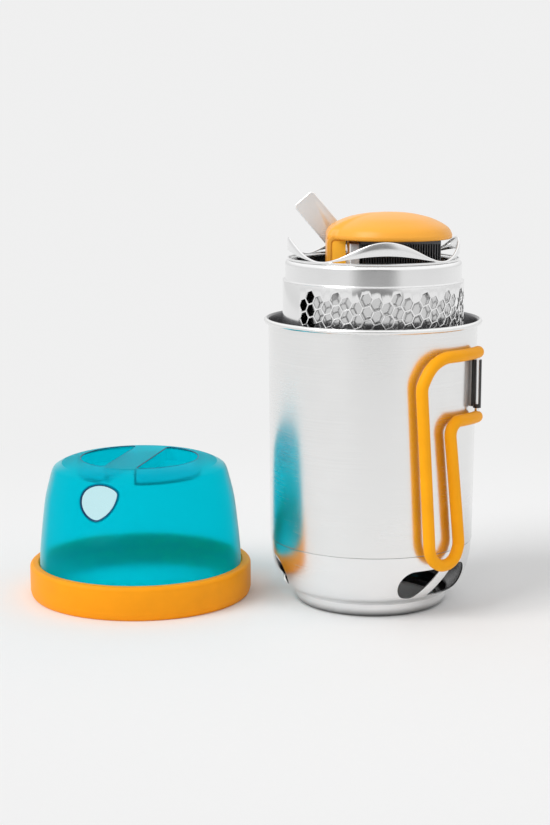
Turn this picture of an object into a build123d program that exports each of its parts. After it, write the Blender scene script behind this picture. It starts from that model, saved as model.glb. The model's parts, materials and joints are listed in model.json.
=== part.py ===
"""Nesting camp cook set: pot with folding handle, wood stove, power module and cover.

Millimetres. The origin is on the pot's axis at table level, +Z is up, +X points from the
cover to the pot, and -Y is the front of the set. Azimuths are in degrees about +Z,
0 at the front and positive towards +X.
"""
import os
from math import cos, degrees, hypot, pi, radians, sin

from build123d import *

# ---- driving dimensions -------------------------------------------------------------

# pot
POT_TOP_Z = 191.0
POT_R_TOP = 69.0            # wall just under the rim
POT_R_SEAM = 67.7           # wall where the skirt starts
SHEET = 0.8
BEAD_R = 1.7                # rolled rim
SEAM_Z = 43.8
NECK_R = 66.6               # the body steps in here and the skirt laps over it
FLOOR_Z = 36.0              # underside of the pot's floor
FLOOR_CORNER = 6.0

# skirt: bowl from the seam down to the foot crease, then the foot
SKIRT_SHEET = 0.9
BOWL = [(67.5, 43.5), (66.4, 33.0), (64.2, 23.8), (60.0, 15.0), (51.8, 8.6)]
FOOT = [(51.8, 8.6), (51.0, 4.4), (49.6, 1.3), (47.6, 0.0)]
OPENING_R = 45.0            # flame opening in the underside
OPENING_LIP = 4.0

# skirt windows
WINDOW_AZIMUTHS = (40.0, -91.0, 154.5)
WINDOW_Z = (14.0, 33.4)
WINDOW_WIDTH = 58.6
STRUT_ANGLE = 46.0
STRUT_WIDTH = 7.4
WINDOW_CORNERS = (4.5, 1.2)  # where the strut meets the sill, left and right opening
STRUT_AT = (-4.3, 22.0)     # point on the strut's centre line, across and up

# handle, hugging the wall on a slightly flatter curve than the pot's
HINGE_AZIMUTH = 65.6
HINGE_R = 73.0
HANDLE_CURVE_R = 88.0
WIRE_R = 2.0
PIN_R = 1.6                 # the loop is thinner where it runs in the barrel
SLEEVE_R = 3.9
RUNNING_GAP = 0.08
HANDLE_OUTLINE = [          # along the curve from the hinge, height, corner radius
    (0.0, 171.8, 0.0), (60.0, 172.8, 22.0), (50.0, 37.7, 13.2),
    (21.7, 37.7, 13.2), (35.6, 130.7, 8.5), (0.0, 129.4, 0.0),
]
BARREL_Z = (135.3, 166.8)
BARREL_R = 2.6
BARREL_SLOT = (137.8, 166.8)
BARREL_SLOT_WIDTH = 2.4
LEAF_RUN = (1.6, 9.6)        # along the wall, from the barrel's axis
LEAF_R = 72.2

# stove
STOVE_Z = 37.2              # lowest point, on the pot's floor
SHIELD_R = 59.7
SHIELD_SHEET = 0.7
SHIELD_Z = (44.0, 161.5)
HONEYCOMB_Z = (160.0, 215.6)
CAP_R = 58.1
CAP_TOP_Z = 229.4
CAP_SHOULDER = 3.0
CAP_MOUTH_R = 53.9
CHAMBER_R = 53.6
CHAMBER_Z = (111.2, 228.4)
STAND_R = 56.5              # wavy pot stand
STAND_SHEET = 0.8
STAND_TROUGH_Z = 231.0
STAND_CREST_Z = 244.2
STAND_SLOT_RISE = 5.2
STAND_AZIMUTH = 5.0         # of the front crest
STAND_WAVES = 4

# folded ground legs
GROUND_LEG_AZIMUTHS = (60, 180, 300)
KNUCKLE_R = 47.0

# honeycomb of stretched, sheared cells
CELL_REPEATS = 19           # groups round the band
CELLS_PER_GROUP = 3
CELL_DROP = 8.4             # from one cell to the cell below it
CELL_LEAN = 0.6             # sideways shift over that drop
CELL_WEB = 0.9
CELL_TOP_Z = 212.6
CELL_ROWS = 5
CELL_AZIMUTH = -7.5         # of a group's tallest column
PLAIN_ZONE = (-122.0, -58.0)    # azimuths left without cells, on the power module's side

# power module, stored head-up in the burn chamber
MODULE_X = 10.7             # axis of its round cap
MODULE_CAP_R = 40.7
MODULE_RIM_Z = (243.2, 245.8)
MODULE_DOME = [(0, 260.2), (13.0, 259.4), (25.0, 256.9), (33.0, 253.6), (38.4, 250.0), (40.7, 245.8)]
MODULE_WALL = 2.4
CAP_SHOULDER_R = 5.0        # outer corner between the cap's top and its left wall
SHELL_X = (-31.0, -19.0)
SHELL_Y = 20.0
SHELL_Z = (113.0, 242.8)    # stands on the chamber floor
MODULE_SKIRT = 2.9          # thickness of the cap's left wall
CAP_SKIRT_UP = 60.0         # that wall's lower edge, above the housing's foot
PANEL_THICK = 2.0
PANEL_CORNER = 2.4
BUTTON_AT = (6.0, 128.0)    # across and up
BUTTON_R = 2.4
PORT_Y = (-11.0, -2.0)
PORT_Z = (124.0, 131.0)
HEAT_PLATE_X = (-16.8, -9.8)
FIN_X = (-8.2, 43.6)
FIN_PITCH = 1.65
FIN_THICK = 0.7
FIN_Y = 24.0
FIN_Z = (196.0, 240.8)
FAN_Z = (168.0, 186.0)
FAN_X = 17.7
FAN_R = 19.0

# support leg
LEG_PIVOT = (-25.5, 243.8)
LEG_Y = (30.4, 36.2)
LEG_WIDTH = 16.7
LEG_REACH = 31.5            # pivot to the free end
LEG_RISE = 49.0             # degrees above level, leaning to -X
LEG_SHEET = 1.2
LEG_PIN_R = 2.0

# cover
COVER_AT = (-156.8, 14.5)
COLLAR_R = 75.4
COLLAR_H = 22.5
COLLAR_SEAT_R = 72.45
COLLAR_SEAT_H = 10.0
DOME_WALL = 1.8
DOME_SIDE = [(68.6, 23.0), (68.2, 32.0), (66.8, 46.0), (64.3, 66.0), (61.0, 80.0)]
DOME_SHOULDER = [(57.6, 88.4), (42.5, 93.6)]
DOME_FLANGE_R = 71.0
DOME_FLANGE_Z = (12.0, 14.0)
WELL_R = 40.0               # finger wells either side of the grip bar
WELL_DEPTH = 9.0
GRIP_WIDTH = 22.0
GRIP_ANGLE = 12.5
GRIP_OFFSET = -2.3
THUMB_AZIMUTH = -21.0
DISH_R = 46.0
DISH_DEPTH = 4.2
DISH_Z = 73.5


# ---- helpers ------------------------------------------------------------------------

def outward(azimuth):
    """Unit vector pointing away from a vertical axis at this azimuth."""
    return Vector(sin(radians(azimuth)), -cos(radians(azimuth)), 0)


def wall_plane(azimuth, distance=0.0, height=0.0):
    """Upright plane facing outward: its x runs round the wall and its y runs up."""
    return Plane(origin=outward(azimuth) * distance + Vector(0, 0, height),
                 x_dir=outward(azimuth + 90), z_dir=outward(azimuth))


def turned(*edges):
    """Solid turned about Z from edges drawn as (radius, height)."""
    return revolve(make_face(Plane.XZ * (Curve() + list(edges))), Axis.Z)


def turned_polygon(points):
    """Solid turned about Z from straight edges through (radius, height) points."""
    return revolve(make_face(Plane.XZ * Polyline(*points, close=True)), Axis.Z)


def tube(r_out, r_in, z0, z1):
    """Upright tube about Z."""
    return turned_polygon([(r_in, z0), (r_out, z0), (r_out, z1), (r_in, z1)])


def disc(r, z0, z1):
    """Upright cylinder about Z."""
    return turned_polygon([(0, z0), (r, z0), (r, z1), (0, z1)])


def block(x, y, z, radius=0.0):
    """Box between pairs of limits, with its upright edges rounded."""
    body = Pos((x[0] + x[1]) / 2, (y[0] + y[1]) / 2, (z[0] + z[1]) / 2) * Box(
        x[1] - x[0], y[1] - y[0], z[1] - z[0])
    return fillet(body.edges().filter_by(Axis.Z), radius) if radius else body


def rod(start, end, r):
    """Round bar between two points."""
    a, b = Vector(*start), Vector(*end)
    return extrude(Plane(origin=a, z_dir=b - a) * Circle(r), (b - a).length)


def shifted(points, inset):
    """Open (radius, height) curve moved inwards by inset, square to its own run."""
    moved = []
    for i, (r, z) in enumerate(points):
        r0, z0 = points[max(i - 1, 0)]
        r1, z1 = points[min(i + 1, len(points) - 1)]
        run = hypot(r1 - r0, z1 - z0)
        moved.append((r + (z1 - z0) / run * inset, z - (r1 - r0) / run * inset))
    return moved


def at_cover(shape):
    """Move a shape built about Z onto the cover's axis."""
    return Pos(*COVER_AT, 0) * shape


def at_module(shape):
    """Move a shape built about Z onto the module cap's axis."""
    return Pos(MODULE_X, 0, 0) * shape


# ---- pot ----------------------------------------------------------------------------

def pot_can(inset):
    """Pot body as a plain solid, moved inwards all over by inset."""
    neck, corner = NECK_R - inset, FLOOR_CORNER - inset
    floor, top = FLOOR_Z + inset, POT_TOP_Z - BEAD_R + inset
    seam = SEAM_Z + inset
    turn = (neck - corner * (1 - cos(radians(45))), floor + corner * (1 - sin(radians(45))))
    return turned(
        Line((0, floor), (neck - corner, floor)),
        ThreePointArc((neck - corner, floor), turn, (neck, floor + corner)),
        Polyline((neck, floor + corner), (neck, seam), (POT_R_SEAM - inset, seam),
                 (POT_R_TOP - inset, top), (0, top), (0, floor)))


def pot_body():
    bead = Pos(0, 0, POT_TOP_Z - BEAD_R) * Torus(POT_R_TOP - SHEET + 2.2, BEAD_R)
    return pot_can(0) - pot_can(SHEET) + bead


def skirt_solid():
    inner_bowl = shifted(BOWL, SKIRT_SHEET)
    inner_foot = shifted(FOOT, SKIRT_SHEET)
    inner_foot[0] = inner_bowl[-1]
    inner_foot[-1] = (FOOT[-1][0], SKIRT_SHEET)
    lip = OPENING_R + SKIRT_SHEET
    return turned(
        Spline(*BOWL), Spline(*FOOT),
        Polyline(FOOT[-1], (OPENING_R, 0), (OPENING_R, OPENING_LIP), (lip, OPENING_LIP),
                 (lip, SKIRT_SHEET), inner_foot[-1]),
        Spline(*reversed(inner_foot)), Spline(*reversed(inner_bowl)),
        Line(inner_bowl[0], BOWL[0]))


def window_cutter(azimuth):
    """The two openings of one window, either side of its slanting strut."""
    middle = (WINDOW_Z[0] + WINDOW_Z[1]) / 2
    outline = Pos(0, middle) * SlotOverall(WINDOW_WIDTH, WINDOW_Z[1] - WINDOW_Z[0])
    strut = Pos(*STRUT_AT) * Rot(0, 0, STRUT_ANGLE) * Rectangle(3 * WINDOW_WIDTH, STRUT_WIDTH)
    cutters = []
    for opening in (outline - strut).faces().sort_by(Axis.X):
        low = [v for v in opening.vertices() if v.Y < middle]
        if cutters:
            opening = fillet([min(low, key=lambda v: v.X)], WINDOW_CORNERS[1])
        else:
            opening = fillet([max(low, key=lambda v: v.X)], WINDOW_CORNERS[0])
        cutters.append(extrude(wall_plane(azimuth, 35) * opening, 45, dir=outward(azimuth)))
    return cutters


def pot_skirt():
    skirt = skirt_solid()
    for azimuth in WINDOW_AZIMUTHS:
        skirt -= window_cutter(azimuth)
    return skirt - disc(NECK_R + 0.05, FLOOR_Z + FLOOR_CORNER - 2, SEAM_Z + 1)


# ---- handle -------------------------------------------------------------------------

HINGE = outward(HINGE_AZIMUTH) * HINGE_R


def on_handle_curve(run, height):
    """Point on the handle's curved sheet, a given run from the hinge."""
    centre = HINGE - outward(HINGE_AZIMUTH) * HANDLE_CURVE_R
    azimuth = HINGE_AZIMUTH - run / radians(HANDLE_CURVE_R)
    return centre + outward(azimuth) * HANDLE_CURVE_R + Vector(0, 0, height)


def outline_edges():
    """The handle's outline laid flat: straight runs joined by rounded corners."""
    corners = [(Vector(s, z), radius) for s, z, radius in HANDLE_OUTLINE]
    edges, at = [], corners[0][0]
    for (before, _), (corner, radius), (after, _) in zip(corners, corners[1:], corners[2:]):
        back, ahead = (before - corner).normalized(), (after - corner).normalized()
        half = radians(back.get_angle(ahead)) / 2
        start, end = (corner + d * (radius * cos(half) / sin(half)) for d in (back, ahead))
        middle = corner + (back + ahead).normalized() * (radius / sin(half) - radius)
        edges += [Line(at, start), ThreePointArc(start, middle, end)]
        at = end
    return edges + [Line(at, corners[-1][0])]


def wrapped(edge, spans=4, nudge=0.001):
    """A flat outline edge bent onto the handle's curve, keeping its end directions."""
    def heading(t):
        at, run = edge @ t, edge % t * nudge
        back, ahead = at - run, at + run
        return on_handle_curve(ahead.X, ahead.Y) - on_handle_curve(back.X, back.Y)

    points = [on_handle_curve(p.X, p.Y) for p in (edge @ (i / spans) for i in range(spans + 1))]
    return Spline(*points, tangents=[heading(0).normalized(), heading(1).normalized()])


def handle_parts():
    """Wire loop with its hinge pin, and the sleeve moulded round the loop."""
    path = Wire([wrapped(edge) for edge in outline_edges()])
    section = Plane(origin=path @ 0, z_dir=path % 0)
    top, foot = tuple(path @ 0), tuple(path @ 1)

    def loop(r):
        return sweep(section * Circle(r), path) + Pos(*top) * Sphere(r) + Pos(*foot) * Sphere(r)

    bore = WIRE_R + 0.05
    wire = loop(WIRE_R) + rod(foot, top, PIN_R)
    return wire, loop(SLEEVE_R) - loop(bore) - rod(foot, top, PIN_R + 0.05)


def hinge_bracket():
    """Barrel for the handle's pin, open at the front, on a leaf fixed to the pot's wall."""
    low, height = BARREL_Z[0], BARREL_Z[1] - BARREL_Z[0]
    barrel = rod((HINGE.X, HINGE.Y, low), (HINGE.X, HINGE.Y, BARREL_Z[1]), BARREL_R)
    bore = rod((HINGE.X, HINGE.Y, low - 1), (HINGE.X, HINGE.Y, BARREL_Z[1] + 1), PIN_R + RUNNING_GAP)
    run = degrees(sum(LEAF_RUN) / 2 / HINGE_R)
    outline = wall_plane(HINGE_AZIMUTH + run, POT_R_TOP - 8, low + height / 2) * RectangleRounded(
        LEAF_RUN[1] - LEAF_RUN[0], height, 2)
    leaf = extrude(outline, 20) & tube(LEAF_R, POT_R_TOP - 5, low - 1, BARREL_Z[1] + 1)
    half = BARREL_SLOT_WIDTH / 2
    slot = block((HINGE.X - half, HINGE.X + half), (HINGE.Y - 6, HINGE.Y), BARREL_SLOT)
    return barrel + leaf - bore - slot - pot_can(-0.02)


# ---- stove --------------------------------------------------------------------------

def cell_outline():
    """Honeycomb cell: a sheared hexagon, smaller than its tile by the web."""
    group_width = 2 * pi * SHIELD_R / CELL_REPEATS
    across = (group_width + CELL_LEAN) / CELLS_PER_GROUP
    down = Vector(CELL_LEAN, -CELL_DROP)
    right = Vector(across, -CELL_DROP / CELLS_PER_GROUP)
    e1 = (right * 2 - down) / 3 + Vector(-0.2, 0.4)
    e2 = right - e1
    e3 = down - e2
    corners, at = [], Vector(0, 0)
    for edge in (e1, e2, e3, -e1, -e2, -e3):
        corners.append(at)
        at += edge
    middle = (corners[0] + corners[3]) / 2
    shrink = 1 - CELL_WEB / across
    return [(c - middle) * shrink for c in corners], across


def honeycomb_band():
    outline, across = cell_outline()
    half_height = max(p.Y for p in outline)
    face = make_face(Polyline(*[(p.X, p.Y) for p in outline], close=True))
    cells = []
    for column in range(CELL_REPEATS * CELLS_PER_GROUP):
        azimuth = (CELL_AZIMUTH + column * 360 / (CELL_REPEATS * CELLS_PER_GROUP) + 180) % 360 - 180
        if PLAIN_ZONE[0] < azimuth < PLAIN_ZONE[1]:
            continue
        step = column % CELLS_PER_GROUP
        top = CELL_TOP_Z - half_height - CELL_DROP * step / CELLS_PER_GROUP
        for row in range(CELL_ROWS):
            run = column * across - (column // CELLS_PER_GROUP - row) * CELL_LEAN
            turn = CELL_AZIMUTH + run / radians(SHIELD_R)
            plane = wall_plane(turn, SHIELD_R - 2, top - row * CELL_DROP)
            cells.append(extrude(plane * face, 4))
    return tube(SHIELD_R, SHIELD_R - SHIELD_SHEET, *HONEYCOMB_Z) - cells


def top_cap():
    inner = CAP_R - SHEET
    round_in = CAP_SHOULDER - SHEET
    slant = cos(radians(45))
    shoulder = CAP_R - CAP_SHOULDER * (1 - slant)
    return turned(
        Polyline((inner, HONEYCOMB_Z[1]), (SHIELD_R, HONEYCOMB_Z[1]), (SHIELD_R, HONEYCOMB_Z[1] + 0.8),
                 (CAP_R, HONEYCOMB_Z[1] + 0.8), (CAP_R, CAP_TOP_Z - CAP_SHOULDER)),
        ThreePointArc((CAP_R, CAP_TOP_Z - CAP_SHOULDER),
                      (shoulder, CAP_TOP_Z - CAP_SHOULDER * (1 - slant)),
                      (CAP_R - CAP_SHOULDER, CAP_TOP_Z)),
        Polyline((CAP_R - CAP_SHOULDER, CAP_TOP_Z), (CAP_MOUTH_R, CAP_TOP_Z),
                 (CAP_MOUTH_R, CAP_TOP_Z - SHEET), (CAP_R - CAP_SHOULDER, CAP_TOP_Z - SHEET)),
        ThreePointArc((CAP_R - CAP_SHOULDER, CAP_TOP_Z - SHEET),
                      (inner - round_in * (1 - slant), CAP_TOP_Z - SHEET - round_in * (1 - slant)),
                      (inner, CAP_TOP_Z - CAP_SHOULDER)),
        Line((inner, CAP_TOP_Z - CAP_SHOULDER), (inner, HONEYCOMB_Z[1])))


def pot_stand():
    """Crown of equal waves, with a lens-shaped slot under each crest."""
    crest = STAND_CREST_Z - CAP_TOP_Z
    trough = STAND_TROUGH_Z - CAP_TOP_Z
    sector = 360 / STAND_WAVES
    reach = STAND_R * sin(radians(sector / 2)) + 1
    wave, slot = [], []
    for i in range(-8, 9):
        angle = sector / 2 * i / 8
        rise = (1 + cos(radians(angle * STAND_WAVES))) / 2
        across = STAND_R * sin(radians(angle))
        wave.append((across, trough + (crest - trough) * rise))
        slot.append((across, 0.9 + STAND_SLOT_RISE * rise ** 0.8))
    above = make_face(Curve() + [Spline(*wave), Polyline(
        wave[-1], (reach, trough), (reach, crest + 2), (-reach, crest + 2),
        (-reach, trough), wave[0])])
    lens = make_face(Curve() + [Spline(*slot[1:-1]), Line(slot[-2], slot[1])])
    crown = tube(STAND_R, STAND_R - STAND_SHEET, CAP_TOP_Z, STAND_CREST_Z)
    for i in range(STAND_WAVES):
        plane = wall_plane(STAND_AZIMUTH + sector * i, STAND_R * cos(radians(sector / 2)) - 2,
                           CAP_TOP_Z)
        crown -= [extrude(plane * above, 22), extrude(plane * lens, 22)]
    return crown


def burn_chamber():
    """Inner wall with air holes near its top and its foot, and a turned-in floor lip."""
    wall = tube(CHAMBER_R, CHAMBER_R - SHEET, *CHAMBER_Z)
    wall += tube(CHAMBER_R, CHAMBER_R - 4, CHAMBER_Z[0], CHAMBER_Z[0] + SHEET)
    holes = []
    for height, count, radius in ((CHAMBER_Z[1] - 5, 36, 1.5), (CHAMBER_Z[0] + 12, 24, 2.5)):
        holes += [extrude(wall_plane(i * 360 / count, CHAMBER_R - 3, height) * Circle(radius), 6)
                  for i in range(count)]
    return wall - holes


def chamber_floor():
    """Perforated floor of the burn chamber."""
    floor = disc(CHAMBER_R - 1, CHAMBER_Z[0] + SHEET, CHAMBER_Z[0] + 2 * SHEET)
    floor += tube(CHAMBER_R - 4.2, CHAMBER_R - 5, CHAMBER_Z[0] - 4, CHAMBER_Z[0] + SHEET)
    holes = [PolarLocations(radius, count) for radius, count in ((12, 6), (24, 12), (36, 18))]
    return floor - [loc * Pos(0, 0, CHAMBER_Z[0]) * Cylinder(2.2, 8) for ring in holes for loc in ring]


def base_pan():
    """Closed pan under the stove, inside the shield's foot."""
    outer = SHIELD_R - SHIELD_SHEET - 0.1
    return tube(outer, outer - SHEET, 42.0, 56.0) + disc(outer, 42.0, 42.8) + [
        Pos(x, y, 42.0) * Cylinder(3.4, 0.9, align=(Align.CENTER,) * 2 + (Align.MAX,))
        for x, y in map(knuckle, GROUND_LEG_AZIMUTHS)]


def chamber_posts():
    """Spacers that hold the burn chamber above the pan."""
    return [rod((*xy, 42.8), (*xy, CHAMBER_Z[0]), 1.8)
            for xy in [tuple(outward(a) * (CHAMBER_R - 2))[:2] for a in (20, 140, 260)]]


def knuckle(azimuth):
    """Where a ground leg is riveted under the pan."""
    at = outward(azimuth) * KNUCKLE_R
    return at.X, at.Y


def ground_leg(azimuth):
    """One of the stove's flat legs, folded along a chord under the pan."""
    x, y = knuckle(azimuth)
    strap = Pos(x, y) * Rot(0, 0, azimuth + 25) * Pos(26, 0) * SlotOverall(64, 12)
    hole = Pos(x, y) * Circle(2.0 + RUNNING_GAP)
    return Pos(0, 0, STOVE_Z + 0.6) * extrude(strap - hole, 2.6)


def leg_rivet(azimuth):
    x, y = knuckle(azimuth)
    return rod((x, y, STOVE_Z), (x, y, 42.0 - 0.9), 2.0) + Pos(x, y, STOVE_Z + 0.3) * Cylinder(3.4, 0.6)


# ---- power module -------------------------------------------------------------------

def rounded_shoulder(body, radius):
    """Round a block's upper left edge, the one that runs from front to back."""
    edges = body.edges().filter_by(Axis.Y)
    left = min(edge.center().X for edge in edges)
    return fillet(max((e for e in edges if e.center().X < left + 0.1), key=lambda e: e.center().Z), radius)


def module_cap():
    """Round domed cap whose left side runs down as a wall with a rounded shoulder."""
    low, rim = MODULE_RIM_Z

    def dome(inset):
        curve = shifted(MODULE_DOME, inset)
        top, (r, edge), foot = (0, curve[0][1]), curve[-1], low - inset
        return at_module(turned(
            Spline(top, *curve[1:], tangents=[(1, 0), (0, -1)]),
            Polyline((r, edge), (r, low + 0.8 - inset), (r - 0.8, foot), (0, foot), top)))

    def arch(inset):
        frame = block((SHELL_X[0] + inset, SHELL_X[1] + inset), (-SHELL_Y - inset, SHELL_Y + inset),
                      (SHELL_Z[0] + CAP_SKIRT_UP - inset, rim - inset))
        return rounded_shoulder(frame, CAP_SHOULDER_R - inset)

    return dome(0) + (arch(0) - arch(MODULE_SKIRT)) - dome(MODULE_WALL)


def module_shell():
    """Hollow housing under the cap, open at the front for its panel."""
    x0, x1 = SHELL_X[0] + MODULE_SKIRT, SHELL_X[1]
    front, back = -SHELL_Y + PANEL_THICK, SHELL_Y
    body = block((x0, x1), (front, back), (SHELL_Z[0] + CAP_SKIRT_UP - 4, SHELL_Z[1]))
    body = rounded_shoulder(body, PANEL_CORNER)
    body += block((SHELL_X[0], x1), (front, back), (SHELL_Z[0], SHELL_Z[0] + CAP_SKIRT_UP), 0.8)
    hollow = block((x0 + 1.5, x1 - 1.5), (front - 1, back - 2), (SHELL_Z[0] + 3, SHELL_Z[1] - 2))
    button = rod((SHELL_X[0] - 1, BUTTON_AT[0], BUTTON_AT[1]), (x0 + 3, *BUTTON_AT), BUTTON_R + 0.2)
    port = block((SHELL_X[0] - 1, x0 + 2), PORT_Y, PORT_Z)
    return body - hollow - button - port


def inset_panel():
    x0, x1 = SHELL_X[0] + MODULE_SKIRT + 0.05, SHELL_X[1]
    plate = block((x0, x1), (-SHELL_Y + 0.5, -SHELL_Y + PANEL_THICK), (SHELL_Z[0] + 2, SHELL_Z[1]))
    return rounded_shoulder(plate, PANEL_CORNER)


def heat_plate():
    plate = block(HEAT_PLATE_X, (-22, 22), (130, 241), 1.0)
    return plate - rod((HEAT_PLATE_X[0] - 1, 0, 142), (HEAT_PLATE_X[1] + 1, 0, 142), 5.05)


def heat_probe():
    """Round probe through the heat plate, with a domed nose."""
    x0, x1 = HEAT_PLATE_X[0], 26.0
    return rod((x0, 0, 142), (x1, 0, 142), 5.0) + Pos(x1, 0, 142) * Sphere(5.0)


def fin_stack():
    count = int((FIN_X[1] - FIN_X[0] - FIN_THICK) / FIN_PITCH) + 1
    fins = [block((FIN_X[0] + i * FIN_PITCH, FIN_X[0] + i * FIN_PITCH + FIN_THICK),
                  (-FIN_Y, FIN_Y), FIN_Z) for i in range(count)]
    right = FIN_X[0] + (count - 1) * FIN_PITCH + FIN_THICK
    root = block((HEAT_PLATE_X[1], right), (-FIN_Y, FIN_Y), (FIN_Z[0] - 2, FIN_Z[0]))
    crown = block((HEAT_PLATE_X[1], right), (-FIN_Y, FIN_Y), (FIN_Z[1], FIN_Z[1] + 2))
    return root + fins + crown - Pos(FAN_X, 0, FIN_Z[0]) * Cylinder(FAN_R - 1, 10)


def thermo_wafer():
    return block((SHELL_X[1], HEAT_PLATE_X[0]), (-18, 18), (196, 232))


def fan_frame():
    body = block((HEAT_PLATE_X[1], 43.0), (-22, 22), (FAN_Z[0] - 3, FIN_Z[0] - 2), 2.0)
    duct = Pos(FAN_X, 0, 180) * Cylinder(FAN_R + 0.6, 40)
    frame = body - duct
    for turn in (0, 90):
        frame += Pos(FAN_X, 0, FAN_Z[0] - 2) * Rot(0, 0, turn + 45) * Box(2 * FAN_R + 2, 3, 2)
    frame += Pos(FAN_X, 0, FAN_Z[0] - 2) * Cylinder(7, 2)
    return frame + Pos(FAN_X, 0, FAN_Z[0] + 3) * Cylinder(1.5, 8)


def fan_rotor():
    """Hub and blades, turning on the frame's pin."""
    middle = (FAN_Z[0] + FAN_Z[1]) / 2
    rotor = Pos(FAN_X, 0, middle + 1) * Cylinder(6.5, FAN_Z[1] - FAN_Z[0] - 4)
    for i in range(7):
        blade = Pos(11.6, 0, 0) * Rot(38, 0, 0) * Box(12.4, 9.0, 1.0)
        rotor += Pos(FAN_X, 0, middle + 1) * Rot(0, 0, i * 360 / 7) * blade
    return rotor - Pos(FAN_X, 0, FAN_Z[0]) * Cylinder(1.5 + RUNNING_GAP, 18)


def battery():
    return block((-26.3, -21.2), (-9, 17), (140, 196), 1.5)


def circuit_board():
    return block((-26.3, -21.0), (-16.5, -11.5), (126, 230))


def usb_port():
    """Metal socket in the housing's left side."""
    gap, x0 = 0.05, SHELL_X[0] + 0.6
    y, z = ((low + gap, high - gap) for low, high in (PORT_Y, PORT_Z))
    shell = block((x0, x0 + 7.0), y, z)
    return shell - block((x0 - 1, x0 + 6.0), (y[0] + 1, y[1] - 1), (z[0] + 1, z[1] - 1))


def power_button():
    """Push button in the housing's left side, with a flange behind the wall."""
    y, z = BUTTON_AT
    inside = SHELL_X[0] + MODULE_SKIRT + 1.5
    stem = rod((SHELL_X[0] - 1.2, y, z), (inside, y, z), BUTTON_R)
    return stem + rod((inside + 0.05, y, z), (inside + 1.0, y, z), BUTTON_R + 0.8) + rod(
        (inside - 1, y, z), (inside + 1.0, y, z), BUTTON_R - 1)


def leg_lug():
    """Ear on the back of the housing that carries the support leg."""
    x, z = LEG_PIVOT
    front, back = LEG_Y[0] - 2.3, LEG_Y[0] - 0.1
    ear = rod((x, front, z), (x, back, z), 3.8)
    ear += block((x - 3.8, x + 3.8), (front, back), (z - 12, z))
    shelf = block((x - 2.0, x + 3.8), (SHELL_Y, back), (z - 12, z - 7))
    return ear + shelf - rod((x, SHELL_Y, z), (x, 2 * SHELL_Y, z), LEG_PIN_R + 0.02)


def leg_pin():
    """Rivet through the ear and the leg, headed behind the leg."""
    x, z = LEG_PIVOT
    end = LEG_Y[1] + 1.4
    return rod((x, LEG_Y[0] - 2.3, z), (x, end, z), LEG_PIN_R) + rod(
        (x, end - 1.0, z), (x, end, z), LEG_PIN_R + 1.4)


def support_leg():
    """Pressed channel: a web facing forward with a flange along each side."""
    outline = Circle(LEG_WIDTH / 2) + Pos(LEG_REACH / 2, 0) * Rectangle(LEG_REACH, LEG_WIDTH)
    outline = fillet(outline.vertices().sort_by(Axis.X)[-2:], 3.0)
    inside = offset(outline, -LEG_SHEET)
    x, z = LEG_PIVOT
    along = Vector(-cos(radians(LEG_RISE)), 0, sin(radians(LEG_RISE)))
    plane = Plane(origin=(x, LEG_Y[0], z), x_dir=along, z_dir=(0, 1, 0))
    depth = LEG_Y[1] - LEG_Y[0]
    leg = extrude(plane * outline, depth) - extrude(plane.offset(LEG_SHEET) * inside, depth)
    leg = fillet(leg.faces().sort_by(Axis.Y)[0].outer_wire().edges(), 0.9)
    boss = rod((x, LEG_Y[0] + LEG_SHEET / 2, z), (x, LEG_Y[1], z), 4.2)
    bore = rod((x, SHELL_Y, z), (x, 2 * SHELL_Y, z), LEG_PIN_R + RUNNING_GAP)
    return leg + boss - bore


# ---- cover --------------------------------------------------------------------------

def dome_solid(inset):
    """Cover dome as a plain solid from the collar up, moved inwards by inset."""
    side = [(r - inset, z) for r, z in DOME_SIDE]
    low, high = DOME_SHOULDER
    low, high = (low[0] - inset * 0.9, low[1] - inset * 0.9), (high[0], high[1] - inset)
    foot = DOME_FLANGE_Z[0] - (2 if inset else 0)
    return turned(
        Line((side[0][0], foot), side[0]), Spline(*side),
        Spline(side[-1], (low[0] + 1.5, low[1] - 2.2), (low[0] - 1.0, low[1] + 0.6)),
        Spline((low[0] - 1.0, low[1] + 0.6), ((low[0] + high[0]) / 2, (low[1] + high[1]) / 2 + 0.9),
               high, (WELL_R - 1, high[1] + 0.3)),
        Polyline((WELL_R - 1, high[1] + 0.3), (0, high[1] + 0.3), (0, foot), (side[0][0], foot)))


def finger_wells(grow):
    """The two half-moon wells, grown all over by grow."""
    floor = DOME_SHOULDER[1][1] - WELL_DEPTH - grow
    wells = []
    for side in (-1, 1):
        offset_x = side * (GRIP_WIDTH / 2 - grow + 60)
        half = Circle(WELL_R + grow) & (Pos(GRIP_OFFSET, 0) * Rot(0, 0, -GRIP_ANGLE)
                                        * Pos(offset_x, 0) * Rectangle(120, 200))
        half = fillet(half.vertices(), 3.0 + grow)
        wells.append(Pos(0, 0, floor) * extrude(half, 30))
    return wells


def thumb_dish(grow):
    """Ball that presses the thumb dish into the dome's side."""
    centre = outward(THUMB_AZIMUTH) * (62.0 + DISH_R - DISH_DEPTH) + Vector(0, 0, DISH_Z)
    return Pos(*centre) * Sphere(DISH_R + grow)


def thumb_hole():
    """Pick-shaped opening, narrow end down."""
    outline = Curve() + [
        ThreePointArc((-12.6, 81.0), (0.0, 86.0), (12.8, 81.4)),
        ThreePointArc((12.8, 81.4), (7.4, 69.5), (-3.2, 61.0)),
        ThreePointArc((-3.2, 61.0), (-13.4, 68.0), (-12.6, 81.0))]
    face = make_face(outline)
    return extrude(wall_plane(THUMB_AZIMUTH, 35) * fillet(face.vertices(), 2.6), 40)


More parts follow.
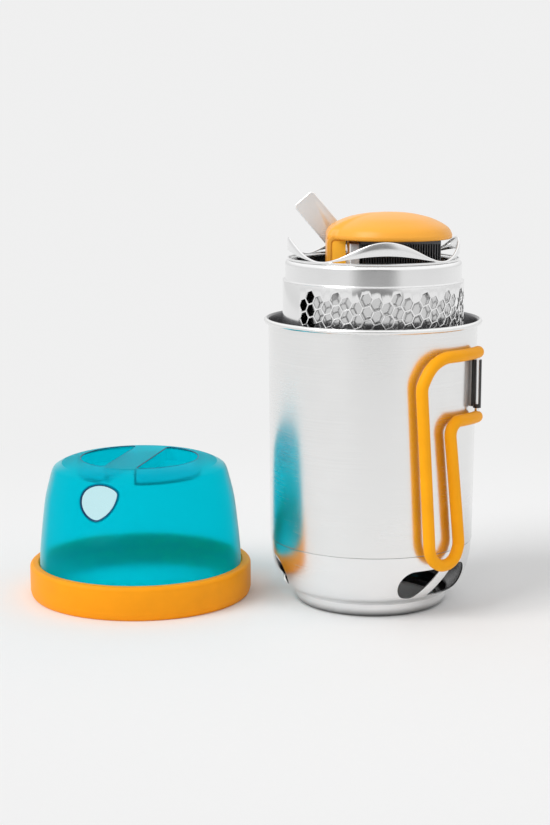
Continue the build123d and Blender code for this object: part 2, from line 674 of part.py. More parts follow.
def cover_dome():
    flange = tube(DOME_FLANGE_R, DOME_SIDE[0][0] - DOME_WALL, *DOME_FLANGE_Z)
    hollow = dome_solid(DOME_WALL) - finger_wells(DOME_WALL) - thumb_dish(DOME_WALL)
    shell = dome_solid(0) + flange - finger_wells(0) - thumb_dish(0) - hollow
    return at_cover(shell - thumb_hole())


def cover_collar():
    """Soft ring that grips the dome's flange and pushes over the pot's rim."""
    neck = DOME_SIDE[0][0] + 0.05
    bore = COLLAR_SEAT_R
    ring = turned(
        Polyline((bore, 0), (bore, COLLAR_SEAT_H), (neck - 2.6, COLLAR_SEAT_H),
                 (neck - 2.6, DOME_FLANGE_Z[0] - 0.05), (DOME_FLANGE_R + 0.05, DOME_FLANGE_Z[0] - 0.05),
                 (DOME_FLANGE_R + 0.05, DOME_FLANGE_Z[1] + 0.05), (neck, DOME_FLANGE_Z[1] + 0.05),
                 (neck, COLLAR_H - 1.2), (neck + 1.2, COLLAR_H), (COLLAR_R - 2.6, COLLAR_H)),
        ThreePointArc((COLLAR_R - 2.6, COLLAR_H), (COLLAR_R - 0.76, COLLAR_H - 0.76),
                      (COLLAR_R, COLLAR_H - 2.6)),
        Line((COLLAR_R, COLLAR_H - 2.6), (COLLAR_R, 4.2)),
        Spline((COLLAR_R, 4.2), (COLLAR_R - 0.9, 1.3), (bore + 0.9, 0)),
        Line((bore + 0.9, 0), (bore, 0)))
    return at_cover(ring)


# ---- build and write ----------------------------------------------------------------

def build():
    """Every node of the set, by name."""
    wire, sleeve = handle_parts()
    nodes = {
        "pot_body": pot_body(),
        "pot_skirt": pot_skirt(),
        "hinge_bracket": hinge_bracket(),
        "handle_wire": wire,
        "handle_sleeve": sleeve,
        "heat_shield": tube(SHIELD_R, SHIELD_R - SHIELD_SHEET, SHIELD_Z[0], HONEYCOMB_Z[0]),
        "honeycomb_band": honeycomb_band(),
        "top_cap": top_cap(),
        "pot_stand": pot_stand(),
        "burn_chamber": burn_chamber(),
        "chamber_floor": chamber_floor(),
        "chamber_posts": chamber_posts(),
        "base_pan": base_pan(),
        "module_cap": module_cap(),
        "module_shell": module_shell(),
        "inset_panel": inset_panel(),
        "heat_plate": heat_plate(),
        "heat_probe": heat_probe(),
        "fin_stack": fin_stack(),
        "thermo_wafer": thermo_wafer(),
        "fan_frame": fan_frame(),
        "fan_rotor": fan_rotor(),
        "battery": battery(),
        "circuit_board": circuit_board(),
        "usb_port": usb_port(),
        "power_button": power_button(),
        "leg_lug": leg_lug(),
        "leg_pin": leg_pin(),
        "support_leg": support_leg(),
        "cover_dome": cover_dome(),
        "cover_collar": cover_collar(),
    }
    for i, azimuth in enumerate(GROUND_LEG_AZIMUTHS, 1):
        nodes[f"ground_leg_{i}"] = ground_leg(azimuth)
        nodes[f"leg_rivet_{i}"] = leg_rivet(azimuth)
    return nodes


def write(nodes, folder="parts"):
    os.makedirs(folder, exist_ok=True)
    for name, shape in nodes.items():
        solids = shape if isinstance(shape, list) else shape.solids()
        export_step(Compound(children=list(solids)) if len(solids) > 1 else solids[0],
                    f"{folder}/{name}.step")


if __name__ == "__main__":
    write(build())
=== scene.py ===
"""Looks of the nesting camp cook set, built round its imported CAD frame.

Lengths below are millimetres and become metres when a mesh is made. Azimuths are degrees
about +Z, 0 at the front (-Y) and positive towards +X.
"""

import json
from math import atan2, cos, hypot, pi, radians, sin, tan, tau

import bmesh
import bpy
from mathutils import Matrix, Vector
from mathutils.bvhtree import BVHTree

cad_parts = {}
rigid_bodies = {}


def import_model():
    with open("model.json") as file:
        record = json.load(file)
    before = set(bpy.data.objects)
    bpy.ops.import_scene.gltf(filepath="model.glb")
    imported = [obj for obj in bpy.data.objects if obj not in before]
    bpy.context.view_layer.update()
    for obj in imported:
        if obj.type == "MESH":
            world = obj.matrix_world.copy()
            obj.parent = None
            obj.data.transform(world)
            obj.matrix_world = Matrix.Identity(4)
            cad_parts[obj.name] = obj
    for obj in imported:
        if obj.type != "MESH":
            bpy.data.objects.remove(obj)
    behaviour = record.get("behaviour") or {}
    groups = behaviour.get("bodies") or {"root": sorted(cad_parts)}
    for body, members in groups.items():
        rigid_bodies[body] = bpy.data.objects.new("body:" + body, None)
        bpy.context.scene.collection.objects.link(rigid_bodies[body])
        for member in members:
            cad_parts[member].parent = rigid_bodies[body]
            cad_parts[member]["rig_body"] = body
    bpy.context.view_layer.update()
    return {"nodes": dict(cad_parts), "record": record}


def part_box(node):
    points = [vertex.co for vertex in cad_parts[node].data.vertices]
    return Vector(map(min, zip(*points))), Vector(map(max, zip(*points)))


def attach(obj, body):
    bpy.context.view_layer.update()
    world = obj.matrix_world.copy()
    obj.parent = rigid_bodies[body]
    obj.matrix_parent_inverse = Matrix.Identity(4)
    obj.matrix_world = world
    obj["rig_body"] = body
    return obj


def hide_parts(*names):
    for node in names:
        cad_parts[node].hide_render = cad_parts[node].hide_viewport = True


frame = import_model()
MM = 0.001

# ---- driving dimensions -----------------------------------------------------------------

SEGMENTS = 224              # round a turned piece
FINE_SEGMENTS = 288         # round the pot stand and the cover's dome
CAP_SEGMENTS = 256          # round the power module's cap
CUT_PAST = 2.0              # how far a hollow runs past an open end
SOFT_EDGES = {              # bevels of the CAD nodes that are carried over as softened copies
    "hinge_bracket": 0.25, "inset_panel": 0.3, "support_leg": 0.25, "leg_lug": 0.3, "leg_pin": 0.3,
    "honeycomb_band": 0.14, "module_shell": 0.3, "heat_plate": 0.3}

# pot and skirt
WALL = 0.8
SEAM_R, SEAM_Z = 67.7, 43.8
NECK_R = 66.6
FLOOR_Z, FLOOR_CORNER = 36.0, 6.0
WALL_R_TOP = 69.0
BEAD_R, BEAD_OUT = 1.7, 1.4     # rolled rim, and how far outside the wall its centre is
BEAD_START = -146               # angle where the roll leaves the wall
BEAD_JOINS = (1.0, 1.6)         # below its centre, where the wall's outside and inside end
SKIRT_WALL = 0.9
BOWL = [(67.5, 43.5), (66.4, 33.0), (64.2, 23.8), (60.0, 15.0), (51.8, 8.6)]
FOOT = [(51.8, 8.6), (51.0, 4.4), (49.6, 1.3), (47.6, 0.0)]
OPENING_R, OPENING_LIP, LIP_BEAD_R = 45.0, 4.0, 0.45
OPENING_EASE = 0.5              # corner between the foot's underside and the lip
WINDOW_AZIMUTHS = (40.0, -91.0, 154.5)
WINDOW_Z = (14.0, 33.4)
WINDOW_WIDTH = 58.6
STRUT_ANGLE, STRUT_WIDTH, STRUT_AT = 46.0, 7.4, (-4.3, 22.0)
STRUT_CORNERS = (4.5, 1.2)
WINDOW_CUT = (35, 80)           # from the axis, where the window cutters start and end
SKIRT_SOFT = 0.28               # bevel along the window edges

# stove
CAP_MOUTH_R, CAP_LAP, CAP_SHOULDER = 53.9, 1.6, 3.0
STAND_WAVES, STAND_AZIMUTH = 4, 5.0
STAND_TROUGH_RISE, STAND_SLOT_FOOT, STAND_SLOT_RISE = 1.6, 0.9, 5.2
STAND_SLOT_END = 157.5      # where a slot closes, in degrees of one wave from its crest
STAND_SLOT_BLUNT = 0.8      # below 1, a slot's ends are blunter than the wave
STAND_LEAST = 0.05          # least height of a strip of sheet, so that no face collapses
STAND_LIP_R, STAND_SOFT = 0.75, 0.18

# power module
CAP_CENTRE_X, CAP_R = 10.7, 40.7
CAP_DOME = [(0, 260.2), (13.0, 259.4), (25.0, 256.9), (33.0, 253.6), (38.4, 250.0), (40.7, 245.8)]
CAP_RIM_Z = 245.8
CAP_BAND, CAP_THICK = 2.6, 2.4
CAP_RIM_EDGE = [(1.0, 0.8), (0.993, 0.23), (0.98, 0.0), (1 - 2.0 / CAP_R, 0.0)]
CAP_TAB_X, CAP_TAB_Y, CAP_TAB_SHOULDER = -31.0, 20.0, 5.0
CAP_TAB_SHARP, CAP_JOIN_SHARP = 14, 26      # powers that blend the tab's corners and its joins
CAP_SIDE_WALL, CAP_SIDE_Z, CAP_SIDE_SOFT = 2.9, 173.0, 0.5
CAP_ARCH_REACH, CAP_ARCH_LAP = 13, 0.3      # how far the side wall's head runs under the dome
CAP_ARCH_FOOT_R, CAP_ARCH_BEND_R = 0.6, 2.1

# cover
COVER_AT = (-156.8, 14.5)
COVER_WALL = 1.8
DOME_FOOT = 12.0
DOME_SIDE = [(68.6, 23.0), (68.2, 32.0), (66.8, 46.0), (64.3, 66.0), (61.0, 80.0)]
DOME_SHOULDER = [(59.1, 86.2), (56.6, 89.0), (50.05, 91.9), (42.5, 93.6), (39.0, 93.9)]
DOME_TOP_RINGS = (30.0, 20.0, 10.0, 0.0)
DOME_FLANGE_R, DOME_FLANGE_Z = 71.0, (12.0, 14.0)
DOME_SOFT = 0.5
WELL_R, WELL_FLOOR_Z, WELL_CORNER = 40.0, 84.6, 3.0
WELL_CUT_TOP = 120
GRIP_WIDTH, GRIP_ANGLE, GRIP_OFFSET = 22.0, 12.5, -2.3
THUMB_AZIMUTH, DISH_R, DISH_DEPTH, DISH_Z = -21.0, 46.0, 4.2, 73.5
DISH_WALL_R, DISH_BLEND = 62.0, 1.6
DISH_LEAST_SLOPE = 0.35         # keeps the press finite where the wall turns over
THUMB_ARCS = [((-12.6, 81.0), (0.0, 86.0), (12.8, 81.4)), ((12.8, 81.4), (7.4, 69.5), (-3.2, 61.0)),
              ((-3.2, 61.0), (-13.4, 68.0), (-12.6, 81.0))]
THUMB_CORNER, THUMB_RIM_R = 2.6, 0.85
THUMB_CUT, THUMB_RAY_FROM = (35, 75), 90    # distances from the cover's axis
WELL_LINE_R = 0.35
COLLAR_SEAT_R, COLLAR_SEAT_H = 72.45, 10.0
COLLAR_FIT = 0.05               # clearance round the dome's wall and flange
COLLAR_FOOT_Z, COLLAR_UNDERCUT = (4.2, 1.3), 0.9
COLLAR_TOP_R, COLLAR_NECK_SLOPE, COLLAR_LEDGE = 2.6, 1.2, 2.6

# studio
BACKDROP = 0.868            # even tone of the backdrop
SKY = 0.74                  # light from all round on matt surfaces
FLOOR_REACH = 9000
FLOOR_TONES = (0.853, 0.857)
FLOOR_FADE = (0.22, 0.62)   # metres from the set over which the floor becomes the backdrop
BAND_FROM, BAND_FULL, BAND_TONE = 0.80, 0.97, 0.30      # darker band behind the camera
CAMERA_AT, CAMERA_DOWN = (-0.0647, -1.1191, 0.3212), 9.855
SENSOR, LENS = 36.0, 74.18

# materials
FACES_IN = -0.004           # metres, see Nodes.facing_out: below this a pot wall faces in and gets the painted shade colour
COVER_OUTSIDE, COVER_SIDES = -0.012, 0.02   # the same for the cover: not facing in, and facing out
HAZE_Z = (14, 46)           # the cover's haze thins out between these heights


# ---- outlines -----------------------------------------------------------------------------

def rounded(corners, steps=6):
    """Closed outline through (x, y, corner radius) points, with each corner turned as an arc."""
    outline, count = [], len(corners)
    for i, (x, y, radius) in enumerate(corners):
        corner = Vector((x, y))
        before, after = Vector(corners[i - 1][:2]), Vector(corners[(i + 1) % count][:2])
        if radius <= 0:
            outline.append((x, y))
            continue
        back, ahead = (before - corner).normalized(), (after - corner).normalized()
        half = back.angle(ahead) / 2
        start, end = corner + back * radius / tan(half), corner + ahead * radius / tan(half)
        centre = corner + (back + ahead).normalized() * radius / sin(half)
        first = (start - centre).normalized()
        sweep = first.angle_signed((end - centre).normalized())
        for k in range(steps + 1):
            turn = -sweep * k / steps
            arm = Vector((first.x * cos(turn) - first.y * sin(turn),
                          first.x * sin(turn) + first.y * cos(turn))) * radius
            outline.append((centre.x + arm.x, centre.y + arm.y))
    return outline


def arc(centre, radius, start, end, steps):
    """Points of an arc, angles in degrees."""
    turns = (radians(start + (end - start) * k / steps) for k in range(steps + 1))
    return [(centre[0] + radius * cos(a), centre[1] + radius * sin(a)) for a in turns]


def smooth_curve(points, steps=6):
    """Smooth curve through points (uniform Catmull-Rom)."""
    ends = [points[0]] + list(points) + [points[-1]]
    curve = []
    for p0, p1, p2, p3 in zip(ends, ends[1:], ends[2:], ends[3:]):
        for k in range(steps):
            t = k / steps
            curve.append(tuple(
                0.5 * (2 * b + (c - a) * t + (2 * a - 5 * b + 4 * c - d) * t * t
                       + (3 * b - a - 3 * c + d) * t ** 3)
                for a, b, c, d in zip(p0, p1, p2, p3)))
    return curve + [points[-1]]


def arc_through(start, middle, end, steps):
    """Points of the arc through three points."""
    (ax, ay), (bx, by), (cx, cy) = start, middle, end
    d = 2 * (ax * (by - cy) + bx * (cy - ay) + cx * (ay - by))
    a2, b2, c2 = ax * ax + ay * ay, bx * bx + by * by, cx * cx + cy * cy
    centre = ((a2 * (by - cy) + b2 * (cy - ay) + c2 * (ay - by)) / d,
              (a2 * (cx - bx) + b2 * (ax - cx) + c2 * (bx - ax)) / d)
    first, via, last = (atan2(y - centre[1], x - centre[0]) for x, y in (start, middle, end))
    sweep = (last - first) % tau
    if (via - first) % tau > sweep:
        sweep -= tau
    return arc(centre, hypot(ax - centre[0], ay - centre[1]), first * 180 / pi,
               (first + sweep) * 180 / pi, steps)


def blunted(arcs, radius, step=0.5, rounds=24):
    """Closed outline from arcs given by three points each, with the corners between them eased
    over about the given radius."""
    outline, from_corner = [], []
    for ends in arcs:
        length = sum(hypot(x1 - x0, y1 - y0) for (x0, y0), (x1, y1) in zip(ends, ends[1:]))
        steps = round(length / step)
        outline += arc_through(*ends, steps)[:-1]
        from_corner += [min(k, steps - k) * length / steps for k in range(steps)]
    for _ in range(rounds):
        outline = [tuple((before + at * 2 + after) / 4) if away < radius * 1.5 else tuple(at)
                   for before, at, after, away in zip(
                       map(Vector, outline[-1:] + outline[:-1]), map(Vector, outline),
                       map(Vector, outline[1:] + outline[:1]), from_corner)]
    return outline


def moved_in(points, inset):
    """A curve that runs downwards on the outside of a turned wall, moved in by inset."""
    moved = []
    for i, (r, z) in enumerate(points):
        r0, z0 = points[max(i - 1, 0)]
        r1, z1 = points[min(i + 1, len(points) - 1)]
        run = hypot(r1 - r0, z1 - z0)
        moved.append((max(r + (z1 - z0) / run * inset, 0), z - (r1 - r0) / run * inset))
    return moved


def outward(azimuth):
    """Level direction away from the axis."""
    return Vector((sin(radians(azimuth)), -cos(radians(azimuth)), 0))


# ---- meshes -------------------------------------------------------------------------------

def new_object(name, verts, faces):
    """Mesh object from millimetre vertices, with doubled and collapsed geometry removed."""
    mesh = bpy.data.meshes.new(name)
    mesh.from_pydata([Vector(v) * MM for v in verts], [], faces)
    tidy = bmesh.new()
    tidy.from_mesh(mesh)
    bmesh.ops.remove_doubles(tidy, verts=tidy.verts, dist=1e-6)
    bmesh.ops.dissolve_degenerate(tidy, edges=tidy.edges, dist=1e-7)
    bmesh.ops.recalc_face_normals(tidy, faces=tidy.faces)
    tidy.to_mesh(mesh)
    tidy.free()
    obj = bpy.data.objects.new(name, mesh)
    bpy.context.scene.collection.objects.link(obj)
    return obj


def turned(name, outline, centre=(0, 0), segments=SEGMENTS, shape=None):
    """Solid turned about a vertical axis from a closed (radius, height) outline.
    shape(radius, height, angle) may return a changed radius and height."""
    verts, faces, n = [], [], len(outline)
    for i in range(segments):
        angle = tau * i / segments
        for r, z in outline:
            if shape:
                r, z = shape(r, z, angle)
            verts.append((centre[0] + r * cos(angle), centre[1] + r * sin(angle), z))
    for i in range(segments):
        j = (i + 1) % segments
        for k in range(n):
            m = (k + 1) % n
            faces.append((i * n + k, j * n + k, j * n + m, i * n + m))
    return new_object(name, verts, faces)


def prism(name, outline, to_world, near, far):
    """Closed prism over a flat outline; to_world(x, y, depth) places a point."""
    n = len(outline)
    verts = [to_world(x, y, d) for d in (near, far) for x, y in outline]
    sides = [(k, (k + 1) % n, n + (k + 1) % n, n + k) for k in range(n)]
    return new_object(name, verts, sides + [tuple(range(n)), tuple(range(2 * n - 1, n - 1, -1))])


def tube(name, points, radius, sides=14):
    """Round tube along a closed run of points."""
    path = [Vector(p) for p in points]
    count = len(path)
    tangents = [(path[(i + 1) % count] - path[i - 1]).normalized() for i in range(count)]
    side = tangents[0].orthogonal().normalized()
    verts, faces = [], []
    for centre, tangent in zip(path, tangents):
        side = (side - tangent * side.dot(tangent)).normalized()
        other = tangent.cross(side)
        verts += [centre + (side * cos(tau * k / sides) + other * sin(tau * k / sides)) * radius
                  for k in range(sides)]
    for i in range(count):
        j = (i + 1) % count
        faces += [(i * sides + k, i * sides + (k + 1) % sides, j * sides + (k + 1) % sides,
                   j * sides + k) for k in range(sides)]
    return new_object(name, verts, faces)


def modify(obj, kind, **settings):
    """Add a modifier and bake it into the mesh."""
    modifier = obj.modifiers.new(kind.lower(), kind)
    for key, value in settings.items():
        setattr(modifier, key, value)
    bpy.context.view_layer.update()
    evaluated = obj.evaluated_get(bpy.context.evaluated_depsgraph_get())
    baked = bpy.data.meshes.new_from_object(evaluated)
    obj.modifiers.clear()
    obj.data = baked


def cut(obj, cutters):
    """Cut other solids away, which uses them up."""
    for cutter in cutters:
        modify(obj, "BOOLEAN", object=cutter, operation="DIFFERENCE", solver="EXACT")
        bpy.data.objects.remove(cutter)


def soften(obj, width, segments=2, angle=38):
    """Round the sharp edges."""
    modify(obj, "BEVEL", width=width * MM, segments=segments, limit_method="ANGLE",
           angle_limit=radians(angle), use_clamp_overlap=True)


def finish_piece(obj, body, slot, *nodes, material=None, angle=35):
    """Smooth shading, CAD body, and the CAD nodes this piece stands for. The material is the
    slot's own unless another is given."""
    obj.data.shade_smooth()
    obj.data.set_sharp_from_angle(angle=radians(angle))
    obj.data.materials.clear()
    obj.data.materials.append(material or MATERIALS[slot])
    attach(obj, body)
    if nodes:
        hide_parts(*nodes)


def softened_node(node, width, material=None):
    """A CAD node's mesh as a new piece with its edges rounded."""
    source = frame["nodes"][node]
    copy = bpy.data.objects.new(node + "_soft", source.data.copy())
    bpy.context.scene.collection.objects.link(copy)
    tidy = bmesh.new()
    tidy.from_mesh(copy.data)
    bmesh.ops.remove_doubles(tidy, verts=tidy.verts, dist=2e-6)
    bmesh.ops.dissolve_limit(tidy, angle_limit=radians(1), verts=tidy.verts, edges=tidy.edges)
    tidy.to_mesh(copy.data)
    tidy.free()
    for name in [a.name for a in copy.data.attributes if "normal" in a.name]:
        copy.data.attributes.remove(copy.data.attributes[name])
    soften(copy, width)
    finish_piece(copy, source["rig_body"], SLOTS[node], node, material=material)


# ---- materials ----------------------------------------------------------------------------

def shade(colour, amount):
    return [c * amount for c in colour]


class Nodes:
    """Helper for building the node tree of a new material, or of the owner if there is one."""

    def __init__(self, name="", owner=None):
        self.material = owner or bpy.data.materials.new(name)
        self.material.use_nodes = True
        self.tree = self.material.node_tree
        self.tree.nodes.clear()
        self.output = self.tree.nodes.new("ShaderNodeOutput" + ("World" if owner else "Material"))

    def add(self, kind, inputs=None, **settings):
        node = self.tree.nodes.new("ShaderNode" + kind)
        for key, value in settings.items():
            setattr(node, key, value)
        for key, value in (inputs or {}).items():
            self.set(node.inputs[key], value)
        return node

    def set(self, socket, value):
        if isinstance(value, bpy.types.NodeSocket):
            self.tree.links.new(value, socket)
        elif socket.type == "RGBA" and len(value) == 3:
            socket.default_value = (*value, 1)
        else:
            socket.default_value = value

    def position(self, scale=(1, 1, 1)):
        coordinates = self.add("TexCoord").outputs["Object"]
        return self.add("Mapping", {"Vector": coordinates, "Scale": scale}).outputs[0]

    def height(self):
        return self.add("SeparateXYZ", {0: self.add("TexCoord").outputs["Object"]}).outputs["Z"]

    def facing_out(self, axis=(0, 0)):
        """Outward part of the normal times the distance from an upright axis, in metres. It is
        below 0 on faces that look towards the axis."""
        geometry = self.add("NewGeometry")
        arm = self.add("VectorMath", {0: geometry.outputs["Position"],
                                      1: (axis[0] * MM, axis[1] * MM, 0)}, operation="SUBTRACT")
        flat = self.add("VectorMath", {0: arm.outputs[0], 1: (1, 1, 0)}, operation="MULTIPLY")
        return self.add("VectorMath", {0: geometry.outputs["Normal"], 1: flat.outputs[0]},
                        operation="DOT_PRODUCT").outputs["Value"]

    def noise(self, scale, detail=3.0, stretch=(1, 1, 1), roughness=0.55):
        return self.add("TexNoise", {"Vector": self.position(stretch), "Scale": scale,
                                     "Detail": detail, "Roughness": roughness}).outputs["Fac"]

    def spread(self, value, low, high):
        """The middle of a noise's range, 0.3 to 0.7, stretched to low and high."""
        return self.add("MapRange", {"Value": value, "From Min": 0.3, "From Max": 0.7,
                                     "To Min": low, "To Max": high}).outputs[0]

    def ramp(self, value, start, end, low=0.0, high=1.0):
        """Value from start to end turned smoothly into low to high."""
        return self.add("MapRange", {"Value": value, "From Min": start, "From Max": end,
                                     "To Min": low, "To Max": high},
                        interpolation_type="SMOOTHSTEP").outputs[0]

    def blend(self, factor, first, second):
        node = self.add("Mix", data_type="RGBA")
        self.set(node.inputs["Factor"], factor)
        self.set(node.inputs[6], first)
        self.set(node.inputs[7], second)
        return node.outputs[2]

    def choose(self, factor, first, second):
        """A number between two numbers."""
        node = self.add("Mix", {"Factor": factor}, data_type="FLOAT")
        self.set(node.inputs[2], first)
        self.set(node.inputs[3], second)
        return node.outputs[0]

    def layer(self, factor, first, second):
        """A shader mixed from two shaders."""
        return self.add("MixShader", {0: factor, 1: first, 2: second}).outputs[0]

    def math(self, operation, *values):
        node = self.add("Math", operation=operation)
        for socket, value in zip(node.inputs, values):
            self.set(socket, value)
        return node.outputs[0]

    def bump(self, height, strength, distance):
        return self.add("Bump", {"Height": height, "Strength": strength,
                                 "Distance": distance}).outputs[0]

    def surface(self, shader):
        self.set(self.output.inputs["Surface"], shader)
        return self.material

    def principled(self, **inputs):
        named = {key.replace("_", " "): value for key, value in inputs.items()}
        return self.surface(self.add("BsdfPrincipled", named).outputs[0])


def steel(name, colour, roughness, brush=0.0, anisotropic=0.0, inside=None, foot=None,
          metallic=1.0):
    """Steel sheet. brush is how strong the fine lines are that run round the axis. inside, when
    given, is a painted shade colour for faces that look towards the axis, where the walls lie in
    shade; foot is how far up a painted dark reflection of the shaded floor reaches along the
    bottom edge, with a wavy top."""
    n = Nodes(name)
    streaks = n.noise(1.0, 4.0, stretch=(14, 14, 4200), roughness=0.7)
    smears = n.noise(26.0, 3.0)
    base = n.blend(n.spread(smears, 0.0, 1.0), shade(colour, 0.965), colour)
    lines = n.math("MULTIPLY", n.spread(streaks, 0.0, 0.13), brush)
    base = n.blend(lines, base, shade(colour, 0.55))
    if inside:
        # painted shade: faces that look towards the axis take the dark inside colour
        base = n.blend(n.math("LESS_THAN", n.facing_out(), FACES_IN), base, inside)
    if foot:
        # painted shade: a dark reflection of the shaded floor, fading up from the bottom edge with
        # a wavy top
        painted_shade_height = n.math("ADD", n.height(), n.math("MULTIPLY", smears, foot * MM * 0.25))
        base = n.blend(n.ramp(painted_shade_height, 0.0, foot * MM, 0.9, 0.0), base, (0.05, 0.05, 0.05))
    worn = n.math("ADD", n.spread(smears, roughness * 0.85, roughness * 1.2),
                  n.math("MULTIPLY", n.spread(streaks, -0.03, 0.05), brush))
    tangent = n.add("Tangent", direction_type="RADIAL", axis="Z")
    grain = n.bump(streaks, 0.035 * brush + 0.01, 0.00005)
    return n.principled(Base_Color=base, Metallic=metallic, Roughness=worn, Anisotropic=anisotropic,
                        Anisotropic_Rotation=0.25, Tangent=tangent.outputs[0], Normal=grain)


def silicone(name, colour):
    """Matt moulded rubber: soft sheen, faint mottling and a very fine skin."""
    n = Nodes(name)
    mottle = n.noise(60.0, 4.0)
    skin = n.noise(2600.0, 2.0)
    base = n.blend(n.spread(mottle, 0.0, 1.0), shade(colour, 0.93), colour)
    return n.principled(Base_Color=base, Roughness=n.spread(mottle, 0.42, 0.54),
                        Specular_IOR_Level=0.16, Normal=n.bump(skin, 0.12, 0.00005))


def moulded(name, colour, roughness, grain=0.10, coat=0.0, painted_glow=0.0):
    """Moulded plastic with a fine spark-eroded grain. The glow argument is painted light: an even
    emission in the part's own colour that brightens it where it lies in shade.
    """
    n = Nodes(name)
    texture = n.add("TexVoronoi", {"Vector": n.position(), "Scale": 2400.0}).outputs["Distance"]
    clouds = n.noise(34.0, 3.0)
    base = n.blend(n.spread(clouds, 0.0, 1.0), shade(colour, 0.95), colour)
    worn = n.spread(clouds, roughness * 0.9, roughness * 1.12)
    # painted light: the emission lights the part up although it is no lamp
    return n.principled(Base_Color=base, Roughness=worn, Coat_Weight=coat,
                        Coat_Roughness=0.28, Specular_IOR_Level=0.25,
                        Emission_Color=(*colour, 1), Emission_Strength=painted_glow,
                        Normal=n.bump(texture, grain, 0.00004))


def anodised(name, dark, edge):
    """Black anodised sheet whose narrow front edges are bare and bright."""
    n = Nodes(name)
    normal = n.add("SeparateXYZ", {0: n.add("NewGeometry").outputs["Normal"]})
    front = n.math("GREATER_THAN", n.math("ABSOLUTE", normal.outputs["Y"]), 0.75)
    dust = n.noise(300.0, 3.0)
    base = n.blend(n.spread(dust, 0.0, 0.5), dark, shade(dark, 1.9))
    base = n.blend(n.math("MULTIPLY", front, 0.75), base, edge)
    return n.principled(Base_Color=base, Metallic=0.8, Roughness=n.spread(dust, 0.34, 0.46))


def metal(name, colour, roughness):
    """Machined metal with fine straight tool lines."""
    n = Nodes(name)
    lines = n.noise(1.0, 3.0, stretch=(2700, 60, 60))
    tarnish = n.noise(70.0, 4.0)
    base = n.blend(n.spread(tarnish, 0.0, 0.7), colour, shade(colour, 0.8))
    worn = n.spread(lines, roughness * 0.8, roughness * 1.3)
    return n.principled(Base_Color=base, Metallic=1.0, Roughness=worn,
                        Normal=n.bump(lines, 0.08, 0.00005))


def painted(name, colour, roughness):
    """Powder coat with a faint orange-peel surface. Where another part mirrors it, a painted
    reflection turns its colour pale grey.
    """
    n = Nodes(name)
    peel = n.noise(900.0, 2.0)
    worn = n.noise(120.0, 5.0)
    base = n.blend(n.spread(worn, 0.0, 0.35), colour, [c * 2.6 + 0.01 for c in colour])
    # painted reflection: rays from mirroring parts see the coat as pale grey
    mirrored = n.math("MULTIPLY", n.add("LightPath").outputs["Is Glossy Ray"], 0.8)
    return n.principled(Base_Color=n.blend(mirrored, base, (0.7, 0.7, 0.7)),
                        Roughness=n.spread(worn, roughness * 0.85, roughness * 1.2),
                        Normal=n.bump(peel, 0.15, 0.00008))


def board(name, mask, trace):
    """Circuit board: solder mask with lighter traces under it."""
    n = Nodes(name)
    cells = n.add("TexBrick", {"Vector": n.position(), "Scale": 320.0, "Color1": mask,
                               "Color2": shade(mask, 0.8), "Mortar": trace, "Mortar Size": 0.03})
    return n.principled(Base_Color=cells.outputs[0], Roughness=n.spread(n.noise(200.0), 0.25, 0.4))


def clear_plastic(name, tint, pale, body, haze):
    """Tinted see-through plastic. The outside carries the colour and a milky haze, denser low
    down and where the wall is seen edge-on; the inside and what is seen through it is pale."""
    n = Nodes(name)
    waves = n.noise(38.0, 2.0)
    specks = n.noise(1500.0, 2.0)
    surface = n.bump(waves, 0.04, 0.0005)
    facing, height = n.facing_out(COVER_AT), n.height()
    outside = n.math("MAXIMUM", n.math("GREATER_THAN", facing, COVER_OUTSIDE),
                     n.math("GREATER_THAN", height, (WELL_FLOOR_Z - 1) * MM))
    first = n.math("LESS_THAN", n.add("LightPath").outputs["Transmission Depth"], 0.5)
    tinted = n.math("MULTIPLY", outside, first)
    frosted = n.math("ADD", n.spread(specks, 0.10, 0.18), n.math("MULTIPLY", tinted, 0.22))
    wall = n.add("BsdfPrincipled", {
        "Base Color": n.blend(tinted, pale, tint), "Roughness": frosted, "IOR": 1.08,
        "Specular IOR Level": 0.25, "Transmission Weight": 1.0, "Normal": surface})
    cloudy = n.blend(n.spread(waves, 0.0, 1.0), shade(body, 0.96), body)
    scatter = n.add("BsdfTranslucent", {"Color": cloudy, "Normal": surface})
    skin = n.add("BsdfDiffuse", {"Color": cloudy, "Normal": surface})
    cloud = n.layer(0.6, scatter.outputs[0], skin.outputs[0])
    haziness = n.ramp(height, HAZE_Z[0] * MM, HAZE_Z[1] * MM, haze * 1.9, haze)
    mixed = n.layer(n.math("MULTIPLY", tinted, haziness), wall.outputs[0], cloud)
    edge = n.ramp(n.add("LayerWeight", {"Blend": 0.5}).outputs["Facing"], 0.62, 1.0, 0.0, 0.5)
    side_on = n.math("MULTIPLY", n.math("MULTIPLY", edge, tinted),
                     n.math("GREATER_THAN", facing, COVER_SIDES))
    frost = n.add("BsdfDiffuse", {"Color": (0.62, 0.90, 0.93)})
    return n.surface(n.layer(side_on, mixed, frost.outputs[0]))


